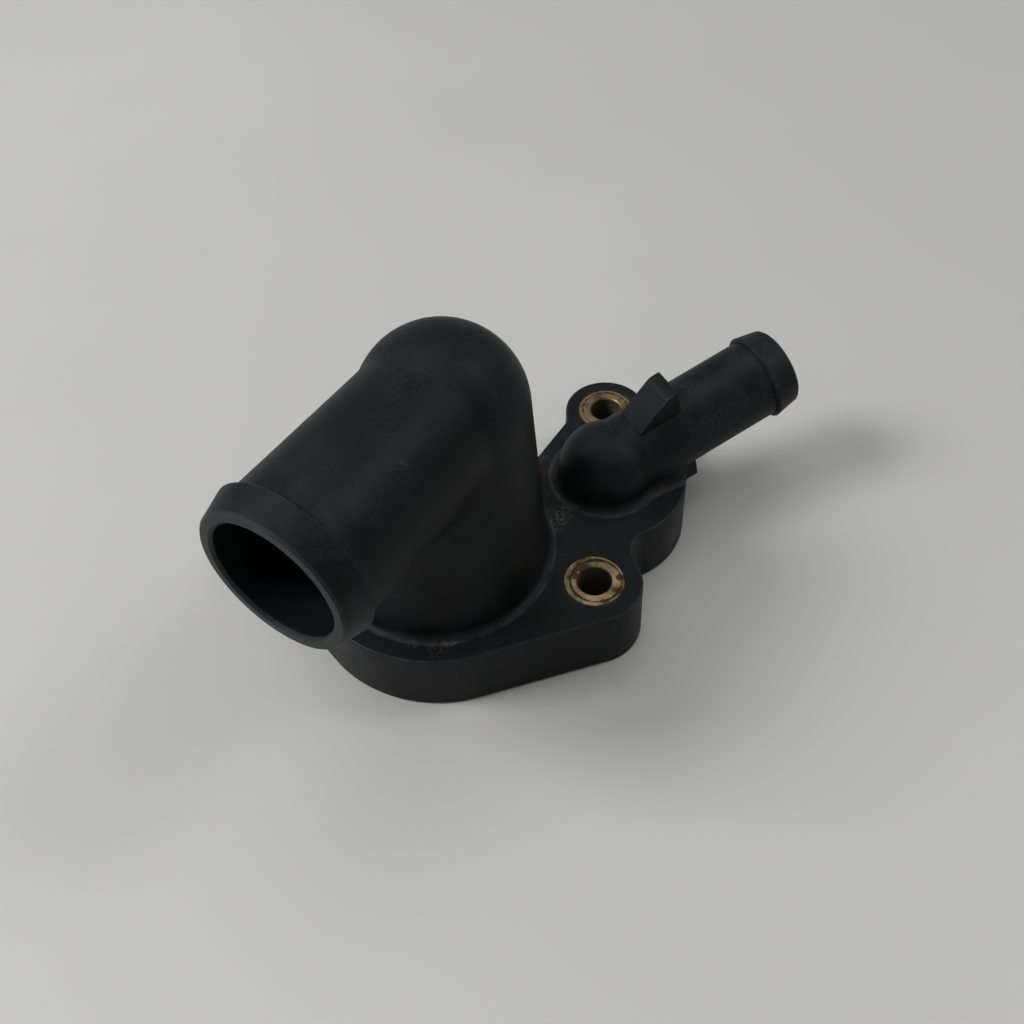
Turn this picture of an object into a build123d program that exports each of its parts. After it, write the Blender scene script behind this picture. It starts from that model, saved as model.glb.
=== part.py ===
from build123d import *
import os
from math import acos, atan2, cos, degrees, hypot, radians, sin, sqrt, tan

# Coolant housing: a moulded black plastic cover that bolts to an engine by three sleeved ears.
# A thermostat tower turns into the main hose spout, and a low side boss feeds a thinner hose stub.
# Origin: the tower's foot centre on the mounting face. +Z is up, away from the engine.
# The main spout leaves along -X.

# Flange
flange_height = 17.5
flange_draft = 1.4
main_flange_land = 3.3
side_flange_land = 6.4
back_edge_y = -4.8
ear_radius = 12.2
far_ear_radius = 11.3
rim_round = 0.6
ear_lobe_round = 6.1
lobe_far_ear_round = 4.6
back_edge_round = 4.6

# Bolts, and the brass sleeves moulded into the ears
near_bolt_angle = -74.5
far_bolt_angle = 28.4
near_bolt_clearance = 3.2
far_bolt_clearance = 2.3
bolt_hole_diameter = 8.2
sleeve_diameter = 15.0
sleeve_chamfer = 0.3
sleeve_fit = 0.02

# Tower: a cone that leans a little and ends in a ball
wall = 3.0
tower_foot_radius = 27.0
tower_foot_round = 1.6
dome_radius = 19.1
dome_x = 2.7
dome_y = -3.8
dome_rise = 48.0

# Main hose spout
spout_rise = 2.0
spout_radius = 17.5
spout_bore_radius = 14.3
spout_length = 55.5
spout_nose = 7.1
spout_bead_radius = 18.9
spout_tip_radius = 17.3
spout_edge = 0.5
spout_mouth_chamfer = 0.7
elbow_round = 9.0

# Side boss and the thinner hose stub
side_gap = 8.55
side_angle = -29.8
side_boss_radius = 11.95
side_boss_rise = 3.4
side_boss_round = 2.2
side_bore_radius = 8.9
stub_rise = 12.3
stub_radius = 10.5
stub_bore_radius = 7.4
stub_length = 52.75
stub_nose = 7.15
stub_collar_radius = 11.5
stub_tip_radius = 10.4
stub_edge = 0.6
stub_mouth_chamfer = 0.5
stub_root_round = 3.0

# Hose stop lugs on the top and the bottom of the stub
lug_width = 8.8
lug_ramp_start = 9.5
lug_ramp_end = 18.6
lug_ramp_round = 3.0
upper_lug_height = 17.1
upper_lug_end = 21.5
lower_lug_height = 18.8
lower_lug_end = 23.6

# Ports and seal grooves in the mounting face
port_step = 0.6
seat_step = 1.1
seat_depth = 3.5
side_port_radius = 10.2
side_port_depth = 11.0
ring_section = 2.62
groove_width = 3.2
groove_depth = 2.0
groove_land = 1.7

# Coring pockets under the flange
pocket_wall = 3.0
pocket_roof = 3.5
pocket_reach = 18.0
smallest_pocket = 12.0

# Sizes that follow from the ones above
sleeve_radius = sleeve_diameter / 2
dome_height = flange_height + dome_rise
side_boss_height = flange_height + side_boss_rise
main_port_radius = tower_foot_radius - wall + port_step
seat_radius = main_port_radius + seat_step
main_ring_radius = seat_radius + groove_land + groove_width / 2
side_ring_radius = side_port_radius + groove_land + groove_width / 2
main_flange_radius = main_ring_radius + groove_width / 2 + main_flange_land
side_flange_radius = side_ring_radius + groove_width / 2 + side_flange_land
side_top_radius = side_flange_radius - flange_height * tan(radians(flange_draft))
near_bolt_distance = tower_foot_radius + tower_foot_round + sleeve_radius + near_bolt_clearance
far_bolt_distance = side_boss_radius + side_boss_round + sleeve_radius + far_bolt_clearance
side_distance = tower_foot_radius + side_boss_radius + side_gap


def polar(distance, angle, centre=(0.0, 0.0)):
    """Point at a distance and an angle in degrees about a centre."""
    return centre[0] + distance * cos(radians(angle)), centre[1] + distance * sin(radians(angle))


main_centre = (0.0, 0.0)
side_centre = polar(side_distance, side_angle)
near_bolt = polar(near_bolt_distance, near_bolt_angle)
opposite_bolt = polar(near_bolt_distance, near_bolt_angle + 180)
far_bolt = polar(far_bolt_distance, far_bolt_angle, side_centre)
bolts = {"near": near_bolt, "opposite": opposite_bolt, "far": far_bolt}
ear_radii = {"near": ear_radius, "opposite": ear_radius, "far": far_ear_radius}


def disc(centre, radius):
    """Flat round face."""
    return Pos(*centre) * Circle(radius)


def post(centre, radius, low, high):
    """Upright round solid between two heights."""
    return Pos(*centre, low) * extrude(Circle(radius), amount=high - low)


def tangent_web(centre, radius, ear, side):
    """Four-sided face from a circle to an ear, with one edge touching both round outlines."""
    dx = ear[0] - centre[0]
    dy = ear[1] - centre[1]
    spread = degrees(acos((radius - ear_radius) / hypot(dx, dy)))
    angle = radians(degrees(atan2(dy, dx)) + side * spread)
    on_circle = (centre[0] + radius * cos(angle), centre[1] + radius * sin(angle))
    on_ear = (ear[0] + ear_radius * cos(angle), ear[1] + ear_radius * sin(angle))
    return make_face(Polyline(centre, on_circle, on_ear, ear, close=True))


def concave_web(a, a_radius, b, b_radius, round_radius):
    """Face that joins two round outlines with a hollow arc on the right of the way from a to b."""
    dx = b[0] - a[0]
    dy = b[1] - a[1]
    apart = hypot(dx, dy)
    to_a = a_radius + round_radius
    to_b = b_radius + round_radius
    along = (apart**2 + to_a**2 - to_b**2) / (2 * apart)
    across = sqrt(to_a**2 - along**2)
    hollow_x = a[0] + (along * dx + across * dy) / apart
    hollow_y = a[1] + (along * dy - across * dx) / apart
    web = make_face(Polyline(a, (hollow_x, hollow_y), b, close=True))
    return web - disc((hollow_x, hollow_y), round_radius)


def flange_outline():
    """Outline of the mounting face: tower circle, side lobe, three ears and the webs between them."""
    lobe = disc(side_centre, side_flange_radius)
    beyond = 2 * side_flange_radius
    lobe -= Pos(side_centre[0], back_edge_y + beyond / 2) * Rectangle(2 * beyond, beyond)
    core = make_face(
        Polyline(
            (0, back_edge_y),
            (far_bolt[0], back_edge_y),
            far_bolt,
            side_centre,
            near_bolt,
            close=True,
        )
    )
    outline = disc(main_centre, main_flange_radius) + lobe + core
    for name, bolt in bolts.items():
        outline += disc(bolt, ear_radii[name])
    outline += tangent_web(main_centre, main_flange_radius, near_bolt, -1)
    outline += tangent_web(main_centre, main_flange_radius, opposite_bolt, -1)
    outline += tangent_web(main_centre, main_flange_radius, opposite_bolt, 1)
    outline += concave_web(near_bolt, ear_radius, side_centre, side_flange_radius, ear_lobe_round)
    outline += concave_web(side_centre, side_flange_radius, far_bolt, far_ear_radius, lobe_far_ear_round)
    rise = back_edge_y - far_bolt[1]
    corners = [
        (sqrt(main_flange_radius**2 - back_edge_y**2), back_edge_y),
        (far_bolt[0] - sqrt(far_ear_radius**2 - rise**2), back_edge_y),
    ]
    inner = [outline.vertices().sort_by_distance((x, y, 0))[0] for x, y in corners]
    return fillet(inner, back_edge_round)


def tower_form(inset, depth):
    """Leaning cone that runs tangent into its ball; depth is how far it goes below the flange top."""
    foot = Vector(0, 0, flange_height)
    lean = Vector(dome_x, dome_y, dome_height) - foot
    tall = lean.length
    foot_radius = tower_foot_radius - inset
    ball = dome_radius - inset
    taper = acos(ball / hypot(foot_radius, tall)) - atan2(tall, foot_radius)
    touch = (ball * cos(taper), tall + ball * sin(taper))
    quarter = radians(45) + taper / 2
    middle = (ball * cos(quarter), tall + ball * sin(quarter))
    side = Polyline(
        (0, tall + ball), (0, -depth), (foot_radius + depth * tan(taper), -depth), touch
    )
    crown = ThreePointArc(touch, middle, (0, tall + ball))
    section = make_face(side + crown)
    return Plane(origin=foot, x_dir=(1, 0, 0), z_dir=lean) * revolve(Plane.XZ * section, Axis.Z)


def spout_frame():
    """Frame at the ball's centre, with Z along the main spout."""
    way = (-cos(radians(spout_rise)), 0, sin(radians(spout_rise)))
    return Plane(origin=(dome_x, dome_y, dome_height), x_dir=(0, 1, 0), z_dir=way)


def stub_frame():
    """Frame at the side boss's centre, with Z along the stub and X upward."""
    level = cos(radians(stub_rise))
    rise = sin(radians(stub_rise))
    way = Vector(*polar(level, side_angle), rise)
    upward = Vector(*polar(-rise, side_angle), level)
    return Plane(origin=(*side_centre, side_boss_height), x_dir=upward, z_dir=way)


def turned(frame, outline):
    """Solid turned about a frame's Z from an outline of radius and length."""
    return frame * revolve(Plane.XZ * make_face(Polyline(*outline, close=True)), Axis.Z)


def spout():
    """Main hose spout, with its hose bead and tapered nose."""
    bead_start = spout_length - spout_nose
    return turned(
        spout_frame(),
        [
            (0, 0),
            (spout_radius, 0),
            (spout_radius, bead_start),
            (spout_bead_radius - spout_edge, bead_start),
            (spout_bead_radius, bead_start + spout_edge),
            (spout_tip_radius, spout_length - spout_edge),
            (spout_tip_radius - spout_edge, spout_length),
            (0, spout_length),
        ],
    )


def stub():
    """Side hose stub, with its collar and tapered nose."""
    collar_start = stub_length - stub_nose
    return turned(
        stub_frame(),
        [
            (0, 0),
            (stub_radius, 0),
            (stub_radius, collar_start),
            (stub_collar_radius - stub_edge, collar_start),
            (stub_collar_radius, collar_start + stub_edge),
            (stub_tip_radius, stub_length - stub_edge),
            (stub_tip_radius - stub_edge, stub_length),
            (0, stub_length),
        ],
    )


def stop_lug(height, end):
    """Ramped lug that the hose end stops against; its height is negative below the stub."""
    near_height = stub_radius if height > 0 else -stub_radius
    ramp_top = (height, lug_ramp_end)
    section = make_face(
        Polyline(
            (0, lug_ramp_start),
            (near_height, lug_ramp_start),
            ramp_top,
            (height, end),
            (0, end),
            close=True,
        )
    )
    corner = section.vertices().sort_by_distance((*ramp_top, 0))[0]
    section = fillet(corner, lug_ramp_round)
    return stub_frame() * extrude(Plane.XZ * section, amount=lug_width / 2, both=True)


def saddle():
    """Straight-sided root under the stub, from its mid height down into the flange lobe."""
    block = Box(
        stub_radius + side_boss_height,
        2 * stub_radius,
        2 * side_flange_radius,
        align=(Align.MAX, Align.CENTER, Align.MIN),
    )
    lobe = Pos(*side_centre) * Rot(0, 0, side_angle) * Circle(side_flange_radius)
    limit = extrude(lobe, amount=dome_height, taper=flange_draft)
    limit &= post(side_centre, side_flange_radius, flange_height / 2, dome_height)
    return (stub_frame() * block) & limit


def side_boss():
    """Upright boss with a ball top, over the side port."""
    ball = Pos(*side_centre, side_boss_height) * Sphere(side_boss_radius)
    return post(side_centre, side_boss_radius, flange_height / 2, side_boss_height) + ball


def boss_and_stub():
    """Side boss, stub and root, with the creases between the boss and the rest rounded."""
    branch = side_boss() + stub() + saddle()
    frame = stub_frame()
    reach = sqrt(side_boss_radius**2 - stub_radius**2)

    def is_crease(edge):
        along = frame.to_local_coords(edge.position_at(0.5)).Z
        round_stub = edge.geom_type == GeomType.CIRCLE and abs(along - reach) < stub_edge
        upright = edge.geom_type == GeomType.LINE and 0 < along < reach
        return round_stub or upright

    creases = [edge for edge in branch.edges() if is_crease(edge)]
    return fillet(creases, stub_root_round)


def tower_and_spout():
    """Tower and main spout, with the crotch between them rounded."""
    elbow = tower_form(0, flange_height / 3) + spout()
    frame = spout_frame()
    crotch = [
        edge
        for edge in elbow.edges().filter_by(GeomType.BSPLINE)
        if frame.to_local_coords(edge.center()).Z > 0
    ]
    return fillet(crotch, elbow_round)


def is_flat_top_edge(edge):
    """True for an edge that lies in the flange's top face."""
    box = edge.bounding_box()
    return box.size.Z < rim_round / 10 and abs(box.min.Z - flange_height) < rim_round / 10


def flat_distance(edge, centre):
    """Distance in plan from a centre to the middle of an edge."""
    middle = edge.position_at(0.5)
    return hypot(middle.X - centre[0], middle.Y - centre[1])


def round_tower_foot(body):
    """Round the tower's foot where it stands on the flange."""
    limit = tower_foot_radius + tower_foot_round
    foot = [e for e in body.edges() if is_flat_top_edge(e) and flat_distance(e, main_centre) < limit]
    return fillet(foot, tower_foot_round)


def round_rim(body):
    """Soften the flange's top edge, apart from the lobe, which the stub's root meets."""
    clear_of_tower = (tower_foot_radius + main_flange_radius) / 2
    clear_of_lobe = side_top_radius + rim_round
    rim = [
        edge
        for edge in body.edges()
        if is_flat_top_edge(edge)
        and flat_distance(edge, main_centre) > clear_of_tower
        and flat_distance(edge, side_centre) > clear_of_lobe
    ]
    return fillet(rim, rim_round)


def round_side_foot(body):
    """Round the foot of the side boss and of the stub's root."""
    frame = stub_frame()

    def is_foot(edge):
        across = abs(frame.to_local_coords(edge.center()).Y)
        on_boss = edge.geom_type == GeomType.CIRCLE and abs(edge.radius - side_boss_radius) < rim_round
        on_root = edge.geom_type == GeomType.LINE and abs(across - stub_radius) < rim_round
        return on_boss or on_root

    foot = [edge for edge in body.edges() if is_flat_top_edge(edge) and is_foot(edge)]
    return fillet(foot, side_boss_round)


def flared_bore(frame, radius, length, chamfer_size):
    """Round bore out to a mouth, with a chamfer at the mouth."""
    outline = [
        (0, 0),
        (radius, 0),
        (radius, length - chamfer_size),
        (radius + chamfer_size + wall, length + wall),
        (0, length + wall),
    ]
    return turned(frame, outline)


def main_passage():
    """Hollow from the main port up the tower and out of the spout, with the thermostat's seat."""
    port = post(main_centre, main_port_radius, -groove_depth, flange_height - wall)
    seat = post(main_centre, seat_radius, -groove_depth, seat_depth)
    tower = tower_form(wall, 2 * wall)
    bore = flared_bore(spout_frame(), spout_bore_radius, spout_length, spout_mouth_chamfer)
    return port + seat + tower + bore


def side_passage():
    """Hollow from the side port up the side boss and out of the stub."""
    cup = post(side_centre, side_port_radius, -groove_depth, side_port_depth)
    rise = post(side_centre, side_bore_radius, 0, side_boss_height)
    ball = Pos(*side_centre, side_boss_height) * Sphere(side_bore_radius)
    bore = flared_bore(stub_frame(), stub_bore_radius, stub_length, stub_mouth_chamfer)
    return cup + rise + ball + bore


def seal_groove(centre, ring_radius):
    """Ring-shaped groove in the mounting face."""
    inner = post(centre, ring_radius - groove_width / 2, -groove_depth, groove_depth)
    outer = post(centre, ring_radius + groove_width / 2, -groove_depth, groove_depth)
    return outer - inner


def coring_pockets():
    """Blind pockets under the flange that keep its walls even."""
    area = offset(flange_outline(), amount=-pocket_wall)
    area -= disc(main_centre, main_ring_radius + groove_width / 2 + pocket_wall)
    area -= disc(side_centre, side_ring_radius + groove_width / 2 + pocket_wall)
    pockets = []
    for bolt in bolts.values():
        ring = disc(bolt, pocket_reach) - disc(bolt, sleeve_radius + pocket_wall)
        pockets += [face for face in (area & ring).faces() if face.area > smallest_pocket]
    return [extrude(face, amount=flange_height - pocket_roof) for face in pockets]


def housing():
    """The whole moulding."""
    body = extrude(flange_outline(), amount=flange_height, taper=flange_draft) + tower_and_spout()
    body += boss_and_stub()
    body += stop_lug(upper_lug_height, upper_lug_end)
    body += stop_lug(-lower_lug_height, lower_lug_end)
    body = round_tower_foot(body)
    body = round_rim(body)
    body = round_side_foot(body)
    body -= main_passage()
    body -= side_passage()
    body -= seal_groove(main_centre, main_ring_radius)
    body -= seal_groove(side_centre, side_ring_radius)
    for pocket in coring_pockets():
        body -= pocket
    for bolt in bolts.values():
        body -= post(bolt, sleeve_radius + sleeve_fit, -wall, flange_height + wall)
    return body


def sleeve(bolt):
    """Turned brass sleeve that carries the bolt's load through the ear."""
    outer = sleeve_radius
    inner = bolt_hole_diameter / 2
    section = Polyline(
        (inner + sleeve_chamfer, 0),
        (outer - sleeve_chamfer, 0),
        (outer, sleeve_chamfer),
        (outer, flange_height - sleeve_chamfer),
        (outer - sleeve_chamfer, flange_height),
        (inner + sleeve_chamfer, flange_height),
        (inner, flange_height - sleeve_chamfer),
        (inner, sleeve_chamfer),
        close=True,
    )
    return Pos(*bolt) * revolve(Plane.XZ * make_face(section), Axis.Z)


def seal_ring(centre, ring_radius):
    """Rubber ring that sits on the bottom of its groove and stands a little proud of the face."""
    return Pos(*centre, groove_depth - ring_section / 2) * Torus(ring_radius, ring_section / 2)


def build():
    """Every node of the coolant housing, by name."""
    nodes = {"housing": housing()}
    for name, bolt in bolts.items():
        nodes[f"sleeve_{name}"] = sleeve(bolt)
    nodes["main_seal_ring"] = seal_ring(main_centre, main_ring_radius)
    nodes["side_seal_ring"] = seal_ring(side_centre, side_ring_radius)
    return nodes


os.makedirs("parts", exist_ok=True)
for node, solid in build().items():
    export_step(solid, f"parts/{node}.step")
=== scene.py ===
import math

import bpy
from mathutils import Matrix, Vector


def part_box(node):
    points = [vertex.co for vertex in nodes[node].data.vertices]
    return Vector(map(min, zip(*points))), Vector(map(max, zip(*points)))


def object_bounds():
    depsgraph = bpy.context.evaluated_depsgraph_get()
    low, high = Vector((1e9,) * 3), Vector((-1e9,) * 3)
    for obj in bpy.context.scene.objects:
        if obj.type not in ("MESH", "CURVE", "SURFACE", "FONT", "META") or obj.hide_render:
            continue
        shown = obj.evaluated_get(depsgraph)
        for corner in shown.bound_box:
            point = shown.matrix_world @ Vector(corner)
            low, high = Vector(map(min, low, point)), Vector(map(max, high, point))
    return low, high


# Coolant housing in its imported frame: metres, +Z up from the mounting face, main spout along -X.
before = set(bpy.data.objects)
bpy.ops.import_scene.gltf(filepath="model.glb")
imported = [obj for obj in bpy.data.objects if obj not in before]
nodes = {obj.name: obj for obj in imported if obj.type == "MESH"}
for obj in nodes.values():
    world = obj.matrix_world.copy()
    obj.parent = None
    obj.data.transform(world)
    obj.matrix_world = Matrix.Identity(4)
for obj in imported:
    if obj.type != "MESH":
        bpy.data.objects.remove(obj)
cad_low, cad_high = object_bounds()
mm = 0.001


# Housing moulding
# One injection moulding in black glass-filled nylon: flange, leaning tower, spout, side boss and stub.
# The skin is fine satin grain, rubbed grey on its edges, with dust and dried coolant in the corners.
# Highlight lines along its feet, rim and the spout's hose seat, and the bore's shade, are painted into
# its colour.
def feed(tree, socket, value):
    """Links an input socket to another node's output, or sets it to a plain value."""
    if isinstance(value, bpy.types.NodeSocket):
        tree.links.new(value, socket)
    else:
        socket.default_value = value


def place(tree, kind, inputs=None, **settings):
    """New node of a kind in a tree, with its settings, and its inputs set to values or sockets."""
    node = tree.nodes.new(kind)
    for name, value in settings.items():
        setattr(node, name, value)
    for socket, value in (inputs or {}).items():
        feed(tree, node.inputs[socket], value)
    return node


def shader_group(name, inputs, outputs):
    """New shader node group, whose outputs are all floats; gives its tree and the sockets inside it."""
    tree = bpy.data.node_groups.new(name, "ShaderNodeTree")
    kinds = {"float": "NodeSocketFloat", "vector": "NodeSocketVector"}
    for label, kind in inputs.items():
        tree.interface.new_socket(label, in_out="INPUT", socket_type=kinds[kind])
    for label in outputs:
        tree.interface.new_socket(label, in_out="OUTPUT", socket_type=kinds["float"])
    return tree, place(tree, "NodeGroupInput").outputs, place(tree, "NodeGroupOutput").inputs


def use_group(tree, group, where, inputs):
    """Outputs of a shader node group at a place, with the material's own values."""
    return place(tree, "ShaderNodeGroup", {"Place": where, **inputs}, node_tree=group).outputs


def maths(tree, operation, *values):
    """Math node's result for one to three values or sockets."""
    return place(tree, "ShaderNodeMath", dict(enumerate(values)), operation=operation).outputs[0]


def product(tree, first, *others):
    """Product of two or more values."""
    for value in others:
        first = maths(tree, "MULTIPLY", first, value)
    return first


def largest(tree, first, *others):
    """Largest of two or more values."""
    for value in others:
        first = maths(tree, "MAXIMUM", first, value)
    return first


def vectors(tree, operation, *values):
    """Vector math node's result: a number for a dot product, length or distance, and else a vector."""
    node = place(tree, "ShaderNodeVectorMath", dict(enumerate(values)), operation=operation)
    return node.outputs["Value" if operation in ("DOT_PRODUCT", "LENGTH", "DISTANCE") else "Vector"]


def stretch(tree, value, low, high, to_low=0.0, to_high=1.0):
    """Value mapped from one range to another and held inside it."""
    inputs = {"Value": value, "From Min": low, "From Max": high, "To Min": to_low, "To Max": to_high}
    return place(tree, "ShaderNodeMapRange", inputs, clamp=True).outputs["Result"]


def blend(tree, share, first, second):
    """Colour between two colours. The Mix node repeats its sockets' names, so they go by number."""
    inputs = {0: share, 6: first, 7: second}
    return place(tree, "ShaderNodeMix", inputs, data_type="RGBA", clamp_factor=True).outputs[2]


def noise(tree, where, scale, detail, roughness=0.5):
    """Noise texture's value at a place."""
    inputs = {"Vector": where, "Scale": scale, "Detail": detail, "Roughness": roughness}
    return place(tree, "ShaderNodeTexNoise", inputs).outputs["Fac"]


def patches(tree, where, scale, detail, start, full, roughness=0.5, low=0.0, high=1.0):
    """Noise cut into patches: low below its start level, and high above its full level."""
    return stretch(tree, noise(tree, where, scale, detail, roughness), start, full, low, high)


def band(tree, value, middle, half):
    """One in the middle of a range of values, and nothing past half its width."""
    solid_part = 0.4
    off = maths(tree, "ABSOLUTE", maths(tree, "SUBTRACT", value, middle))
    return stretch(tree, off, half, solid_part * half)


edge_samples = 6


def openness(tree, reach):
    """How open the space round a point is within a reach: least in inner corners."""
    node = place(tree, "ShaderNodeAmbientOcclusion", {"Distance": reach}, samples=edge_samples)
    return node.outputs["AO"]


def axis_group():
    """Distance along an axis from its start, and distance away from it."""
    inputs = {"Place": "vector", "Start": "vector", "Way": "vector"}
    tree, given, result = shader_group("Round an axis", inputs, ("Along", "Away"))
    arm = vectors(tree, "SUBTRACT", given["Place"], given["Start"])
    lever = vectors(tree, "CROSS_PRODUCT", arm, given["Way"])
    feed(tree, result["Along"], vectors(tree, "DOT_PRODUCT", arm, given["Way"]))
    feed(tree, result["Away"], vectors(tree, "LENGTH", lever))
    return tree


def grain_group():
    """Skin of a moulding: fine pits from the eroded mould, waves where the plastic sank, and dry film."""
    inputs = {"Place": "vector", "Grain scale": "float", "Wave scale": "float"}
    tree, given, result = shader_group("Moulded grain", inputs, ("Height", "Mottle", "Film"))
    where = given["Place"]
    wave_height = 2.0
    even_film = 0.35
    mottle_start, mottle_full = 0.3, 0.7
    fine = noise(tree, where, given["Grain scale"], detail=3.0, roughness=0.6)
    wave = noise(tree, where, given["Wave scale"], detail=2.0)
    cloud = patches(tree, where, scale=45.0, detail=6.0, roughness=0.62, start=0.44, full=0.68)
    speck = patches(tree, where, scale=1400.0, detail=2.0, roughness=0.7, start=0.42, full=0.7)
    feed(tree, result["Height"], maths(tree, "MULTIPLY_ADD", wave, wave_height, fine))
    feed(tree, result["Mottle"], stretch(tree, wave, mottle_start, mottle_full))
    feed(tree, result["Film"], product(tree, cloud, maths(tree, "ADD", speck, even_film)))
    return tree


def edge_group():
    """Mask of rubbed outer edges, broken up by noise."""
    inputs = {"Place": "vector", "Reach": "float", "Break scale": "float", "Amount": "float"}
    tree, given, result = shader_group("Rubbed edge", inputs, ("Mask",))
    flat_cosine, edge_cosine = 0.995, 0.86
    corner_openness, edge_openness = 0.75, 0.95
    bevel = place(tree, "ShaderNodeBevel", {"Radius": given["Reach"]}, samples=edge_samples)
    true_normal = place(tree, "ShaderNodeNewGeometry").outputs["Normal"]
    cosine = vectors(tree, "DOT_PRODUCT", bevel.outputs["Normal"], true_normal)
    bend = stretch(tree, cosine, flat_cosine, edge_cosine)
    outer = stretch(tree, openness(tree, given["Reach"]), corner_openness, edge_openness)
    broken = patches(
        tree, given["Place"], given["Break scale"], detail=4.0, roughness=0.65, start=0.38, full=0.62
    )
    feed(tree, result["Mask"], product(tree, bend, outer, broken, given["Amount"]))
    return tree


def dirt_group():
    """Mask of dust that has settled into inner corners."""
    inputs = {"Place": "vector", "Reach": "float", "Break scale": "float", "Amount": "float"}
    tree, given, result = shader_group("Corner dirt", inputs, ("Mask",))
    clean_openness, dusty_openness = 0.8, 0.35
    corner = stretch(tree, openness(tree, given["Reach"]), clean_openness, dusty_openness)
    broken = patches(
        tree, given["Place"], given["Break scale"], detail=5.0, roughness=0.7, start=0.35, full=0.65
    )
    feed(tree, result["Mask"], product(tree, corner, broken, given["Amount"]))
    return tree


def spot_group():
    """Mask of one ragged round spot, such as a dried drip."""
    inputs = {"Place": "vector", "Centre": "vector"}
    inputs.update({"Radius": "float", "Ragged": "float", "Speck": "float"})
    tree, given, result = shader_group("Dried spot", inputs, ("Mask",))
    ragged_gain = 1.8
    soft_edge = 0.7
    away = vectors(tree, "DISTANCE", given["Place"], given["Centre"])
    share = maths(tree, "DIVIDE", away, given["Radius"])
    level = maths(tree, "SUBTRACT", product(tree, given["Ragged"], ragged_gain), share)
    feed(tree, result["Mask"], product(tree, stretch(tree, level, 0.0, soft_edge), given["Speck"]))
    return tree


def scuff_group():
    """Mask of hair-thin scratches that run roughly one way."""
    inputs = {"Place": "vector", "Turn": "vector", "Length scale": "float", "Width scale": "float"}
    tree, given, result = shader_group("Scuffs", inputs, ("Mask",))
    depth_scale = 300.0
    line_level, line_half = 0.5, 0.012
    turn = {"Vector": given["Place"], "Rotation": given["Turn"]}
    turned = place(tree, "ShaderNodeVectorRotate", turn, rotation_type="EULER_XYZ").outputs["Vector"]
    scales = {"X": given["Length scale"], "Y": given["Width scale"], "Z": depth_scale}
    scale = place(tree, "ShaderNodeCombineXYZ", scales).outputs["Vector"]
    wavy = noise(tree, vectors(tree, "MULTIPLY", turned, scale), scale=1.0, detail=0.0)
    off_line = maths(tree, "ABSOLUTE", maths(tree, "SUBTRACT", wavy, line_level))
    thin = stretch(tree, off_line, line_half, 0.0)
    scuffed = patches(tree, given["Place"], scale=70.0, detail=2.0, start=0.55, full=0.68)
    feed(tree, result["Mask"], product(tree, thin, scuffed))
    return tree


round_axis = axis_group()
grain = grain_group()
rubbed_edge = edge_group()
corner_dirt = dirt_group()
dried_spot = spot_group()
scuffs = scuff_group()


def axis_distances(tree, where, start, way):
    """Distances along and away from an axis."""
    return use_group(tree, round_axis, where, {"Start": start, "Way": way})


def spot_mask(tree, where, centre, radius, ragged, speck):
    """Mask of one dried spot."""
    inputs = {"Centre": centre, "Radius": radius, "Ragged": ragged, "Speck": speck}
    return use_group(tree, dried_spot, where, inputs)["Mask"]


def new_material(name):
    """Empty node material with its Principled shader and the object's own coordinates."""
    material = bpy.data.materials.new(name)
    material.use_nodes = True
    tree = material.node_tree
    tree.nodes.clear()
    shader = place(tree, "ShaderNodeBsdfPrincipled")
    place(tree, "ShaderNodeOutputMaterial", {"Surface": shader.outputs["BSDF"]})
    where = place(tree, "ShaderNodeTexCoord").outputs["Object"]
    return material, tree, shader, where


def add_bump(tree, shader, height, strength, distance):
    """Bumps the shader's normal by a height that changes over the surface."""
    bump = place(tree, "ShaderNodeBump", {"Height": height, "Strength": strength, "Distance": distance})
    feed(tree, shader.inputs["Normal"], bump.outputs["Normal"])


# Colours of the plastic, of what lies on it, and of the painted shade in its bore.
nylon_black = (0.002, 0.0024, 0.0031, 1)
nylon_grey = (0.0042, 0.0049, 0.006, 1)
film_and_highlight_grey = (0.024, 0.0268, 0.0305, 1)
bore_shade_colour = (0.006, 0.007, 0.0082, 1)
rubbed_and_highlight_grey = (0.055, 0.058, 0.062, 1)
dust_colour = (0.045, 0.042, 0.036, 1)
red_dirt = (0.085, 0.026, 0.018, 1)
pale_deposit = (0.1, 0.112, 0.088, 1)
tan_dirt = (0.15, 0.125, 0.092, 1)

# How strongly each kind of wear and painted highlight shows, and what it does to the roughness.
film_on_tower = 0.4
hose_wear_and_highlight_strength = 0.3
scratch_strength = 0.3
mouth_line_strength = 0.5
foot_dust_and_highlight_strength = 0.7
rim_wear_and_highlight_strength = 0.45
nylon_specular = 0.18
nylon_roughness = (0.42, 0.52)
film_roughness = 0.12
dust_roughness = 0.4
bore_roughness_change = -0.15
scratch_height = -0.6

# Where the moulding's forms lie, as in part.py.
side_angle = math.radians(-29.8)
stub_rise = math.radians(12.3)
spout_rise = math.radians(2)
flange_top = 17.5 * mm
side_x, side_y = 41.22 * mm, -23.61 * mm
upward = (0, 0, 1)
tower_foot = (0, 0, flange_top)
boss_foot = (side_x, side_y, flange_top)
root_way = (math.cos(side_angle), math.sin(side_angle), 0)
tower_foot_line = 28.55 * mm
boss_foot_line = 14.15 * mm
root_foot_line = 12.6 * mm
spout_start = (2.7 * mm, -3.8 * mm, 65.5 * mm)
spout_way = (-math.cos(spout_rise), 0, math.sin(spout_rise))
spout_bore = 14.6 * mm
spout_end = 54.75 * mm
bore_fade, mouth_fade = 0.3 * mm, 0.8 * mm
hose_middle = 48 * mm
hose_reach = 9 * mm
mouth_line_radii = (15.6 * mm, 16.6 * mm)
mouth_line_half = 0.16 * mm
stub_start = (side_x, side_y, 20.9 * mm)
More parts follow.
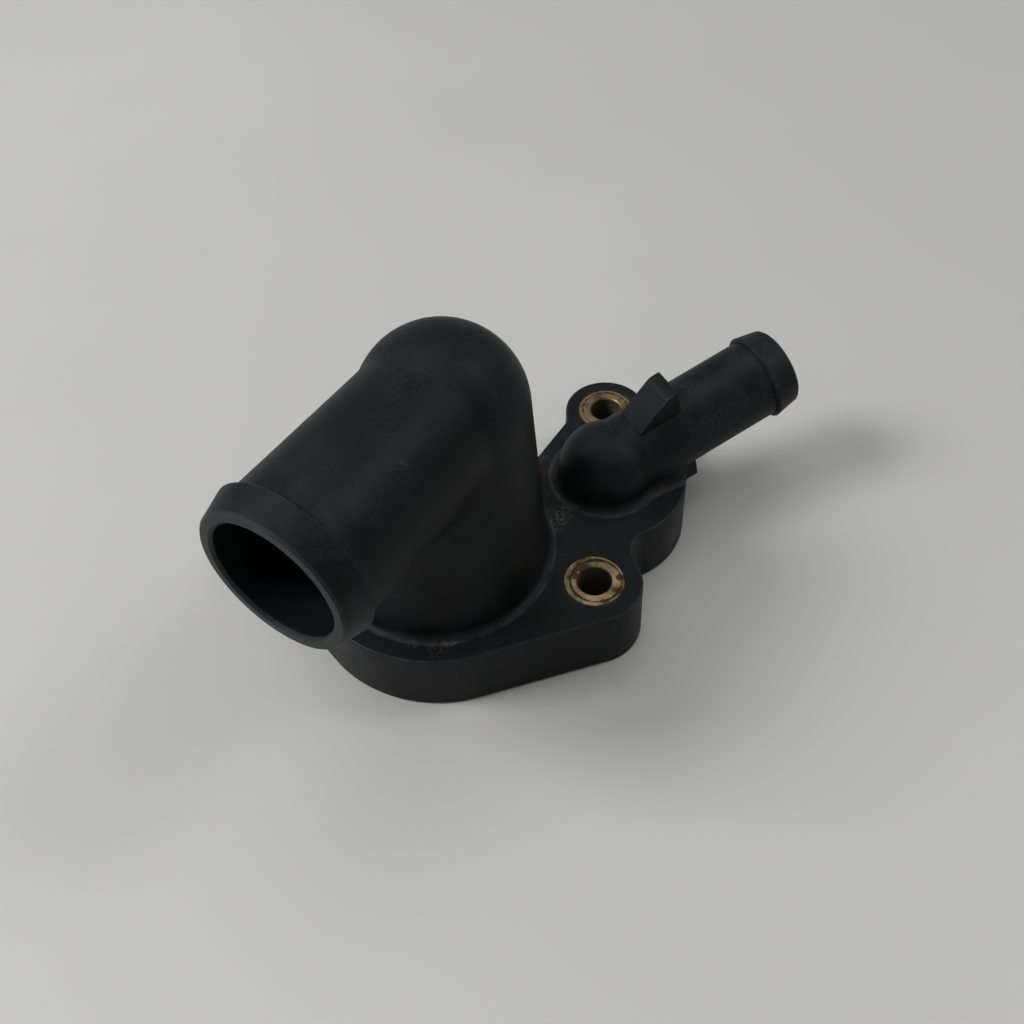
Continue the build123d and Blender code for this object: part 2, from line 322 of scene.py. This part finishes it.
stub_way = (math.cos(stub_rise) * root_way[0], math.cos(stub_rise) * root_way[1], math.sin(stub_rise))
stub_film_start, stub_film_full = 12 * mm, 24 * mm
stub_end = 52.1 * mm
end_fade = 0.4 * mm

# Each dried spot on the flange's top: x, y and radius in millimetres, colour and strength.
dried_spots = [
    (34.6, -10.4, 3.4, red_dirt, 0.5),
    (38, -6, 3.4, tan_dirt, 0.3),
    (23, -19.9, 3.8, pale_deposit, 0.5),
    (26, -21.2, 3.2, pale_deposit, 0.4),
    (20.2, -21.6, 2.6, pale_deposit, 0.4),
    (-22.8, -17.3, 1.1, tan_dirt, 0.6),
    (-21.6, -18.7, 1, tan_dirt, 0.6),
    (-24.7, -16.1, 3.2, tan_dirt, 0.2),
    (-26.8, -11.2, 2.2, tan_dirt, 0.18),
    (42.4, -37, 2.2, tan_dirt, 0.2),
    (44.8, -38.6, 2, tan_dirt, 0.26),
]


def foot_dust_and_highlight(tree, where):
    """Mask of the line where tower, side boss and stub root meet the flange: dust and painted highlight.
    """
    tower_half, boss_half, root_half = 0.55 * mm, 0.65 * mm, 0.6 * mm
    root_start, root_full = 5.5 * mm, 7.5 * mm
    root_fade, boss_fade = 0.4 * mm, 1 * mm
    line_height, line_height_half = 0.1 * mm, 0.9 * mm
    tower = axis_distances(tree, where, tower_foot, upward)
    boss = axis_distances(tree, where, boss_foot, upward)
    root = axis_distances(tree, where, boss_foot, root_way)
    beside_root = stretch(tree, root["Away"], root_foot_line - root_fade, root_foot_line)
    behind_boss = stretch(tree, root["Along"], boss_fade, -boss_fade)
    boss_line = band(tree, boss["Away"], boss_foot_line, boss_half)
    boss_line = product(tree, boss_line, largest(tree, beside_root, behind_boss))
    root_line = band(tree, root["Away"], root_foot_line, root_half)
    root_line = product(tree, root_line, stretch(tree, root["Along"], root_start, root_full))
    tower_line = band(tree, tower["Away"], tower_foot_line, tower_half)
    lines = largest(tree, boss_line, root_line, tower_line)
    low = band(tree, tower["Along"], line_height, line_height_half)
    broken = patches(tree, where, scale=190.0, detail=4.0, roughness=0.6, start=0.3, full=0.62)
    return product(tree, lines, low, broken)


def rim_wear_and_highlight(tree, where):
    """Mask of the flange's rounded top rim, by its height and the tilt of its skin."""
    rim_start, rim_full = flange_top - 1.1 * mm, flange_top - 0.8 * mm
    above_top, under_top = flange_top + 0.02 * mm, flange_top - 0.01 * mm
    steep_tilt, rim_tilt = 0.15, 0.35
    flat_tilt, nearly_flat_tilt = 0.99, 0.94
    height = place(tree, "ShaderNodeSeparateXYZ", {"Vector": where}).outputs["Z"]
    normal = place(tree, "ShaderNodeNewGeometry").outputs["Normal"]
    tilt = place(tree, "ShaderNodeSeparateXYZ", {"Vector": normal}).outputs["Z"]
    near_top = stretch(tree, height, rim_start, rim_full)
    below_top = stretch(tree, height, above_top, under_top)
    off_wall = stretch(tree, tilt, steep_tilt, rim_tilt)
    off_top = stretch(tree, tilt, flat_tilt, nearly_flat_tilt)
    zone = product(tree, near_top, below_top)
    broken = patches(tree, where, scale=160.0, detail=4.0, roughness=0.6, start=0.25, full=0.65)
    return product(tree, zone, product(tree, off_wall, off_top), broken)


def nylon_material():
    """Satin black glass-filled nylon with rubbed edges, scuffs, dust and dried coolant."""
    material, tree, shader, where = new_material("Moulded black nylon")
    skin = use_group(tree, grain, where, {"Grain scale": 2600.0, "Wave scale": 120.0})
    edges = use_group(tree, rubbed_edge, where, {"Reach": 0.7 * mm, "Break scale": 420.0, "Amount": 0.6})
    dirt = use_group(tree, corner_dirt, where, {"Reach": 4 * mm, "Break scale": 500.0, "Amount": 0.35})
    one_way = {"Turn": (0.3, 0.2, 0.6), "Length scale": 60.0, "Width scale": 1500.0}
    other_way = {"Turn": (0.9, 0.5, -0.7), "Length scale": 50.0, "Width scale": 1300.0}
    along = use_group(tree, scuffs, where, one_way)["Mask"]
    across = use_group(tree, scuffs, where, other_way)["Mask"]
    scratch = largest(tree, along, across)
    spout = axis_distances(tree, where, spout_start, spout_way)
    stub = axis_distances(tree, where, stub_start, stub_way)
    in_bore = stretch(tree, spout["Away"], spout_bore, spout_bore - bore_fade)
    before_end = stretch(tree, spout["Along"], spout_end, spout_end - mouth_fade)
    inside = product(tree, in_bore, before_end)
    spout_face = stretch(tree, spout["Along"], spout_end, spout_end + end_fade)
    stub_face = stretch(tree, stub["Along"], stub_end, stub_end + end_fade)
    ends = largest(tree, spout_face, stub_face)

    colour = blend(tree, skin["Mottle"], nylon_black, nylon_grey)
    on_stub = stretch(tree, stub["Along"], stub_film_start, stub_film_full)
    film_share = stretch(tree, on_stub, 0.0, 1.0, film_on_tower, 1.0)
    colour = blend(tree, product(tree, skin["Film"], film_share), colour, film_and_highlight_grey)
    # Painted highlight with clamp wear: a lighter film on the spout behind the bead, where the hose sat.
    under_hose = band(tree, spout["Along"], hose_middle, hose_reach)
    hose_patches = patches(tree, where, scale=150.0, detail=4.0, roughness=0.6, start=0.48, full=0.66)
    hose_wear_and_highlight = product(tree, under_hose, hose_patches, hose_wear_and_highlight_strength)
    colour = blend(tree, hose_wear_and_highlight, colour, film_and_highlight_grey)
    colour = blend(tree, product(tree, scratch, scratch_strength), colour, rubbed_and_highlight_grey)
    colour = blend(tree, edges["Mask"], colour, rubbed_and_highlight_grey)
    colour = blend(tree, dirt["Mask"], colour, dust_colour)
    # Painted shade: the spout's bore one even dark tone, for the shade deep inside it.
    colour = blend(tree, inside, colour, bore_shade_colour)
    worn_end = patches(
        tree, where, scale=110.0, detail=4.0, roughness=0.6, start=0.3, full=0.7, low=0.16, high=0.5
    )
    colour = blend(tree, product(tree, ends, worn_end), colour, rubbed_and_highlight_grey)
    for radius in mouth_line_radii:
        line = product(tree, band(tree, spout["Away"], radius, mouth_line_half), ends)
        colour = blend(tree, product(tree, line, mouth_line_strength), colour, nylon_black)
    # Painted highlight, partly dust: a light grey line where the tower, boss and stub root meet the
    # flange.
    colour = blend(tree, product(tree, foot_dust_and_highlight(tree, where), foot_dust_and_highlight_strength), colour, rubbed_and_highlight_grey)
    # Painted highlight with rubbing: the flange's rounded top rim turned lighter grey.
    colour = blend(tree, product(tree, rim_wear_and_highlight(tree, where), rim_wear_and_highlight_strength), colour, rubbed_and_highlight_grey)
    ragged = noise(tree, where, scale=420.0, detail=5.0, roughness=0.7)
    speck = patches(tree, where, scale=1300.0, detail=3.0, roughness=0.7, start=0.47, full=0.6)
    for x, y, radius, tint, strength in dried_spots:
        spot = spot_mask(tree, where, (x * mm, y * mm, flange_top), radius * mm, ragged, speck)
        colour = blend(tree, product(tree, spot, strength), colour, tint)
    feed(tree, shader.inputs["Base Color"], colour)

    rough = stretch(tree, skin["Mottle"], 0.0, 1.0, *nylon_roughness)
    rough = maths(tree, "MULTIPLY_ADD", skin["Film"], film_roughness, rough)
    rough = maths(tree, "MULTIPLY_ADD", dirt["Mask"], dust_roughness, rough)
    rough = maths(tree, "MULTIPLY_ADD", inside, bore_roughness_change, rough)
    feed(tree, shader.inputs["Roughness"], rough)
    shader.inputs["Specular IOR Level"].default_value = nylon_specular
    height = maths(tree, "MULTIPLY_ADD", scratch, scratch_height, skin["Height"])
    add_bump(tree, shader, height, strength=0.35, distance=0.06 * mm)
    return material


nodes["housing"].material_slots[0].material = nylon_material()


# Brass sleeves
# Three turned brass tubes moulded into the ears, so that the bolts clamp metal and not plastic.
# Each end face keeps its turning lines and the ring that a bolt head pressed into it, and has painted
# golden glints.
brass_clean = (0.25, 0.2, 0.12, 1)
brass_worn = (0.31, 0.215, 0.125, 1)
brass_stain = (0.09, 0.062, 0.035, 1)
brass_glint = (0.46, 0.38, 0.22, 1)
brass_dirt = (0.035, 0.019, 0.011, 1)
bore_deposit_and_light = (0.07, 0.058, 0.038, 1)
rim_dark_brown = (0.05, 0.02, 0.011, 1)
glint_strength = 0.45
cloud_strength = 0.6
smear_strength = 0.85
brass_specular = 0.2
brass_roughness, dirt_roughness = 0.38, 0.75
turning_height, ring_height = 0.05, -1.0
bolt_head_radius = 6.15 * mm
narrow_ring, wide_ring = 0.12 * mm, 0.6 * mm
bore_edge, bore_wall = 4.25 * mm, 4.12 * mm
rim_dark_start, rim_dark_full = 7.15 * mm, 7.4 * mm
turning_scale = 22000.0
stain_start, stain_full = 0.2, 0.5


def ring_group():
    """Masks round a sleeve: a bolt head's pressed ring and inside, turning lines, bore and outer rim."""
    inputs = {
        "Place": "vector",
        "Axis place": "vector",
        "Head offset": "vector",
        "Ring radius": "float",
        "Ring width": "float",
        "Turning scale": "float",
    }
    outputs = ("Ring", "Inside", "Turning", "Bore", "Rim")
    tree, given, result = shader_group("Bolt head ring", inputs, outputs)
    inside_fade = -0.2 * mm
    ring_edge, ring_full = 1.0, 0.5
    head = vectors(tree, "ADD", given["Axis place"], given["Head offset"])
    from_head = axis_distances(tree, given["Place"], head, upward)["Away"]
    from_axis = axis_distances(tree, given["Place"], given["Axis place"], upward)["Away"]
    past = maths(tree, "SUBTRACT", from_head, given["Ring radius"])
    share = maths(tree, "DIVIDE", maths(tree, "ABSOLUTE", past), given["Ring width"])
    lines = maths(tree, "SINE", product(tree, from_axis, given["Turning scale"]))
    feed(tree, result["Ring"], stretch(tree, share, ring_edge, ring_full))
    feed(tree, result["Inside"], stretch(tree, past, 0.0, inside_fade))
    feed(tree, result["Turning"], stretch(tree, lines, -1.0, 1.0))
    feed(tree, result["Bore"], stretch(tree, from_axis, bore_edge, bore_wall))
    feed(tree, result["Rim"], stretch(tree, from_axis, rim_dark_start, rim_dark_full))
    return tree


bolt_head_ring = ring_group()


def brass_material(name, low, high, head_offset, stains):
    """Brass of one sleeve, with its rings and stains placed from the sleeve's own middle."""
    material, tree, shader, where = new_material(name)
    middle_x, middle_y = (low[0] + high[0]) / 2, (low[1] + high[1]) / 2
    ring_width = patches(
        tree, where, scale=260.0, detail=3.0, start=0.35, full=0.65, low=narrow_ring, high=wide_ring
    )
    ring_values = {
        "Axis place": (middle_x, middle_y, 0.0),
        "Head offset": (head_offset[0] * mm, head_offset[1] * mm, 0.0),
        "Ring radius": bolt_head_radius,
        "Ring width": ring_width,
        "Turning scale": turning_scale,
    }
    rings = use_group(tree, bolt_head_ring, where, ring_values)
    dirt = use_group(tree, corner_dirt, where, {"Reach": 2.5 * mm, "Break scale": 700.0, "Amount": 1.0})
    smear = patches(tree, where, scale=420.0, detail=5.0, roughness=0.7, start=0.56, full=0.66)
    ragged = noise(tree, where, scale=520.0, detail=5.0, roughness=0.7)
    speck = patches(tree, where, scale=1500.0, detail=3.0, roughness=0.7, start=0.3, full=0.5)
    for x, y, radius in stains:
        centre = (middle_x + x * mm, middle_y + y * mm, flange_top)
        spot = spot_mask(tree, where, centre, radius * mm, ragged, speck)
        smear = largest(tree, smear, stretch(tree, spot, stain_start, stain_full))
    ring_breaks = patches(tree, where, scale=500.0, detail=4.0, start=0.3, full=0.5)
    ring_dirt = product(tree, rings["Ring"], ring_breaks)
    grime = largest(tree, product(tree, smear, smear_strength), ring_dirt, dirt["Mask"])

    glint_patches = patches(tree, where, scale=360.0, detail=3.0, roughness=0.6, start=0.52, full=0.64)
    cloud = patches(tree, where, scale=210.0, detail=4.0, roughness=0.6, start=0.42, full=0.6)
    colour = blend(tree, rings["Inside"], brass_clean, brass_worn)
    # Painted highlight: random lighter golden patches stand in for glints on the brass.
    colour = blend(tree, product(tree, glint_patches, glint_strength), colour, brass_glint)
    colour = blend(tree, product(tree, cloud, cloud_strength), colour, brass_stain)
    colour = blend(tree, grime, colour, brass_dirt)
    # Darker reddish brown towards the sleeve's outer rim.
    colour = blend(tree, rings["Rim"], colour, rim_dark_brown)
    # Deposit with painted light: the sleeve's bore a lighter brown than its shade would give.
    colour = blend(tree, rings["Bore"], colour, bore_deposit_and_light)
    dull = largest(tree, grime, rings["Bore"], rings["Rim"])
    feed(tree, shader.inputs["Base Color"], colour)
    feed(tree, shader.inputs["Metallic"], stretch(tree, dull, 0.0, 1.0, 1.0, 0.0))
    rough = stretch(tree, dull, 0.0, 1.0, brass_roughness, dirt_roughness)
    feed(tree, shader.inputs["Roughness"], rough)
    shader.inputs["Specular IOR Level"].default_value = brass_specular
    pressed = product(tree, rings["Ring"], ring_height)
    height = maths(tree, "MULTIPLY_ADD", rings["Turning"], turning_height, pressed)
    add_bump(tree, shader, height, strength=0.8, distance=0.12 * mm)
    return material


# Each sleeve's bolt head, as its offset, and its stains, as x, y and radius; in mm from its middle.
sleeve_wear = {
    "sleeve_near": ((0.2, -0.35), [(1.8, 4.6, 2.9), (-1.2, 4.9, 2.4), (0.2, -6.4, 1.9), (4, -4.9, 1.5)]),
    "sleeve_opposite": ((-0.2, 0.2), [(-4.4, 2.6, 2.9), (5, 2, 2)]),
    "sleeve_far": ((0.15, 0.2), [(-4.4, -2.6, 2.8), (3.6, 4.4, 2.4), (-1.5, 5.6, 1.6)]),
}
for sleeve, (head_offset, stains) in sleeve_wear.items():
    low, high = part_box(sleeve)
    brass = brass_material(f"Brass of {sleeve}", low, high, head_offset, stains)
    nodes[sleeve].material_slots[0].material = brass


# Seal rings
# Two round rubber rings pressed into the grooves of the mounting face; they stand a little proud.
# Black rubber with a dull bloom and dust on its outside.
rubber_black = (0.012, 0.012, 0.012, 1)
rubber_bloom = (0.05, 0.05, 0.048, 1)
bloom_strength = 0.4
rubber_roughness = (0.5, 0.75)


def rubber_material():
    """Dull black rubber with a patchy bloom."""
    material, tree, shader, where = new_material("Seal rubber")
    skin = use_group(tree, grain, where, {"Grain scale": 3500.0, "Wave scale": 260.0})
    dirt = use_group(tree, corner_dirt, where, {"Reach": 1.5 * mm, "Break scale": 600.0, "Amount": 0.6})
    colour = blend(tree, product(tree, skin["Mottle"], bloom_strength), rubber_black, rubber_bloom)
    feed(tree, shader.inputs["Base Color"], blend(tree, dirt["Mask"], colour, dust_colour))
    rough = stretch(tree, skin["Mottle"], 0.0, 1.0, *rubber_roughness)
    feed(tree, shader.inputs["Roughness"], rough)
    add_bump(tree, shader, skin["Height"], strength=0.3, distance=0.05 * mm)
    return material


rubber = rubber_material()
for ring in ("main_seal_ring", "side_seal_ring"):
    nodes[ring].material_slots[0].material = rubber


# Floor
# A plain pale tabletop under the part, a little glossy, so that it carries soft reflections. It lies at
# the lowest point of the seal rings, on which the part rests, and runs into the pale room far off.
floor_radius = 9.0
floor_corners = 128
floor_z = cad_low[2]
floor_colour = (0.54, 0.537, 0.53, 1)
patch_shade = 0.95
far_floor_colour = (0.92, 0.92, 0.915, 1)
fade_start, fade_full = 0.7, 2.6
floor_roughness = (0.3, 0.42)
far_roughness = 0.5


def floor_material():
    """Pale painted tabletop with a faint unevenness in its gloss, and painted light far off."""
    material, tree, shader, where = new_material("Pale tabletop")
    patch = patches(tree, where, scale=6.0, detail=3.0, start=0.3, full=0.7)
    darker = tuple(patch_shade * value for value in floor_colour[:3]) + (1,)
    near_colour = blend(tree, patch, floor_colour, darker)
    # Painted light: the floor turns lighter far off, where the lamps light it less, so that it meets the
    # pale room.
    far_off = stretch(tree, vectors(tree, "LENGTH", where), fade_start, fade_full)
    near_rough = stretch(tree, patch, 0.0, 1.0, *floor_roughness)
    feed(tree, shader.inputs["Base Color"], blend(tree, far_off, near_colour, far_floor_colour))
    rough = maths(tree, "MULTIPLY_ADD", far_off, far_roughness, near_rough)
    feed(tree, shader.inputs["Roughness"], rough)
    return material


def floor_piece():
    """Round floor sheet."""
    mesh = bpy.data.meshes.new("floor")
    turns = [math.tau * step / floor_corners for step in range(floor_corners)]
    corners = [(floor_radius * math.cos(turn), floor_radius * math.sin(turn), floor_z) for turn in turns]
    mesh.from_pydata(corners, [], [tuple(range(floor_corners))])
    mesh.materials.append(floor_material())
    piece = bpy.data.objects.new("floor", mesh)
    bpy.context.scene.collection.objects.link(piece)
    return piece


floor_piece()


# Camera
# It stands where the photograph was taken, in the part's own frame: heading from +Y, pitch and roll.
# The focal length is worked out from pixels of a 1024 pixel wide picture on a 36 mm sensor.
picture_width = 1024
sensor_width = 36
focal_pixels = 1070
camera_place = Vector((-123.04, -107.19, 226.82)) * mm
camera_heading = -55.39
camera_pitch = 50.616
camera_roll = -2.97
nearest_seen = 10 * mm


def photo_camera():
    """Camera at the photograph's place and angle."""
    data = bpy.data.cameras.new("photo_camera")
    data.sensor_width = sensor_width
    data.lens = focal_pixels * sensor_width / picture_width
    data.clip_start = nearest_seen
    camera = bpy.data.objects.new("photo_camera", data)
    turn = Matrix.Rotation(math.radians(camera_heading), 4, "Z")
    turn @= Matrix.Rotation(math.radians(90 - camera_pitch), 4, "X")
    turn @= Matrix.Rotation(math.radians(camera_roll), 4, "Z")
    camera.matrix_world = Matrix.Translation(camera_place) @ turn
    bpy.context.scene.collection.objects.link(camera)
    return camera


bpy.context.scene.camera = photo_camera()


# Light
# A soft window at the left throws the shadow; a ceiling panel, a lamp at the right and a faint window
# beyond the part give sheen. The levels are plain, so that a colour renders about as it is written.
panels = {
    "window": {"way": (-0.44, 0.58, 0.69), "distance": 1.4, "size": 0.45, "power": 12.0},
    "ceiling": {"way": (0.1, 0.15, 1.0), "distance": 1.5, "size": 1.3, "power": 5.2},
    "lamp": {"way": (0.5, -0.46, 0.73), "distance": 1.6, "size": 0.4, "power": 4.0},
    "far_window": {"way": (0.5, 0.78, 0.38), "distance": 1.9, "size": 0.7, "power": 0.45},
}
room_colour = (1.0, 1.0, 1.0, 1)
room_level = 0.27
part_middle = (Vector(cad_low) + Vector(cad_high)) / 2


def soft_panel(name, way, distance, size, power):
    """Square area light that faces the part from a direction."""
    data = bpy.data.lights.new(name, "AREA")
    data.shape = "SQUARE"
    data.size = size
    data.energy = power
    light = bpy.data.objects.new(name, data)
    light.location = part_middle + Vector(way).normalized() * distance
    light.rotation_euler = Vector(way).to_track_quat("Z", "Y").to_euler()
    bpy.context.scene.collection.objects.link(light)


for name, panel in panels.items():
    soft_panel(name, **panel)
world = bpy.data.worlds.new("Pale room")
world.use_nodes = True
background = world.node_tree.nodes["Background"]
background.inputs["Color"].default_value = room_colour
background.inputs["Strength"].default_value = room_level
bpy.context.scene.world = world
bpy.context.scene.view_settings.view_transform = "Standard"
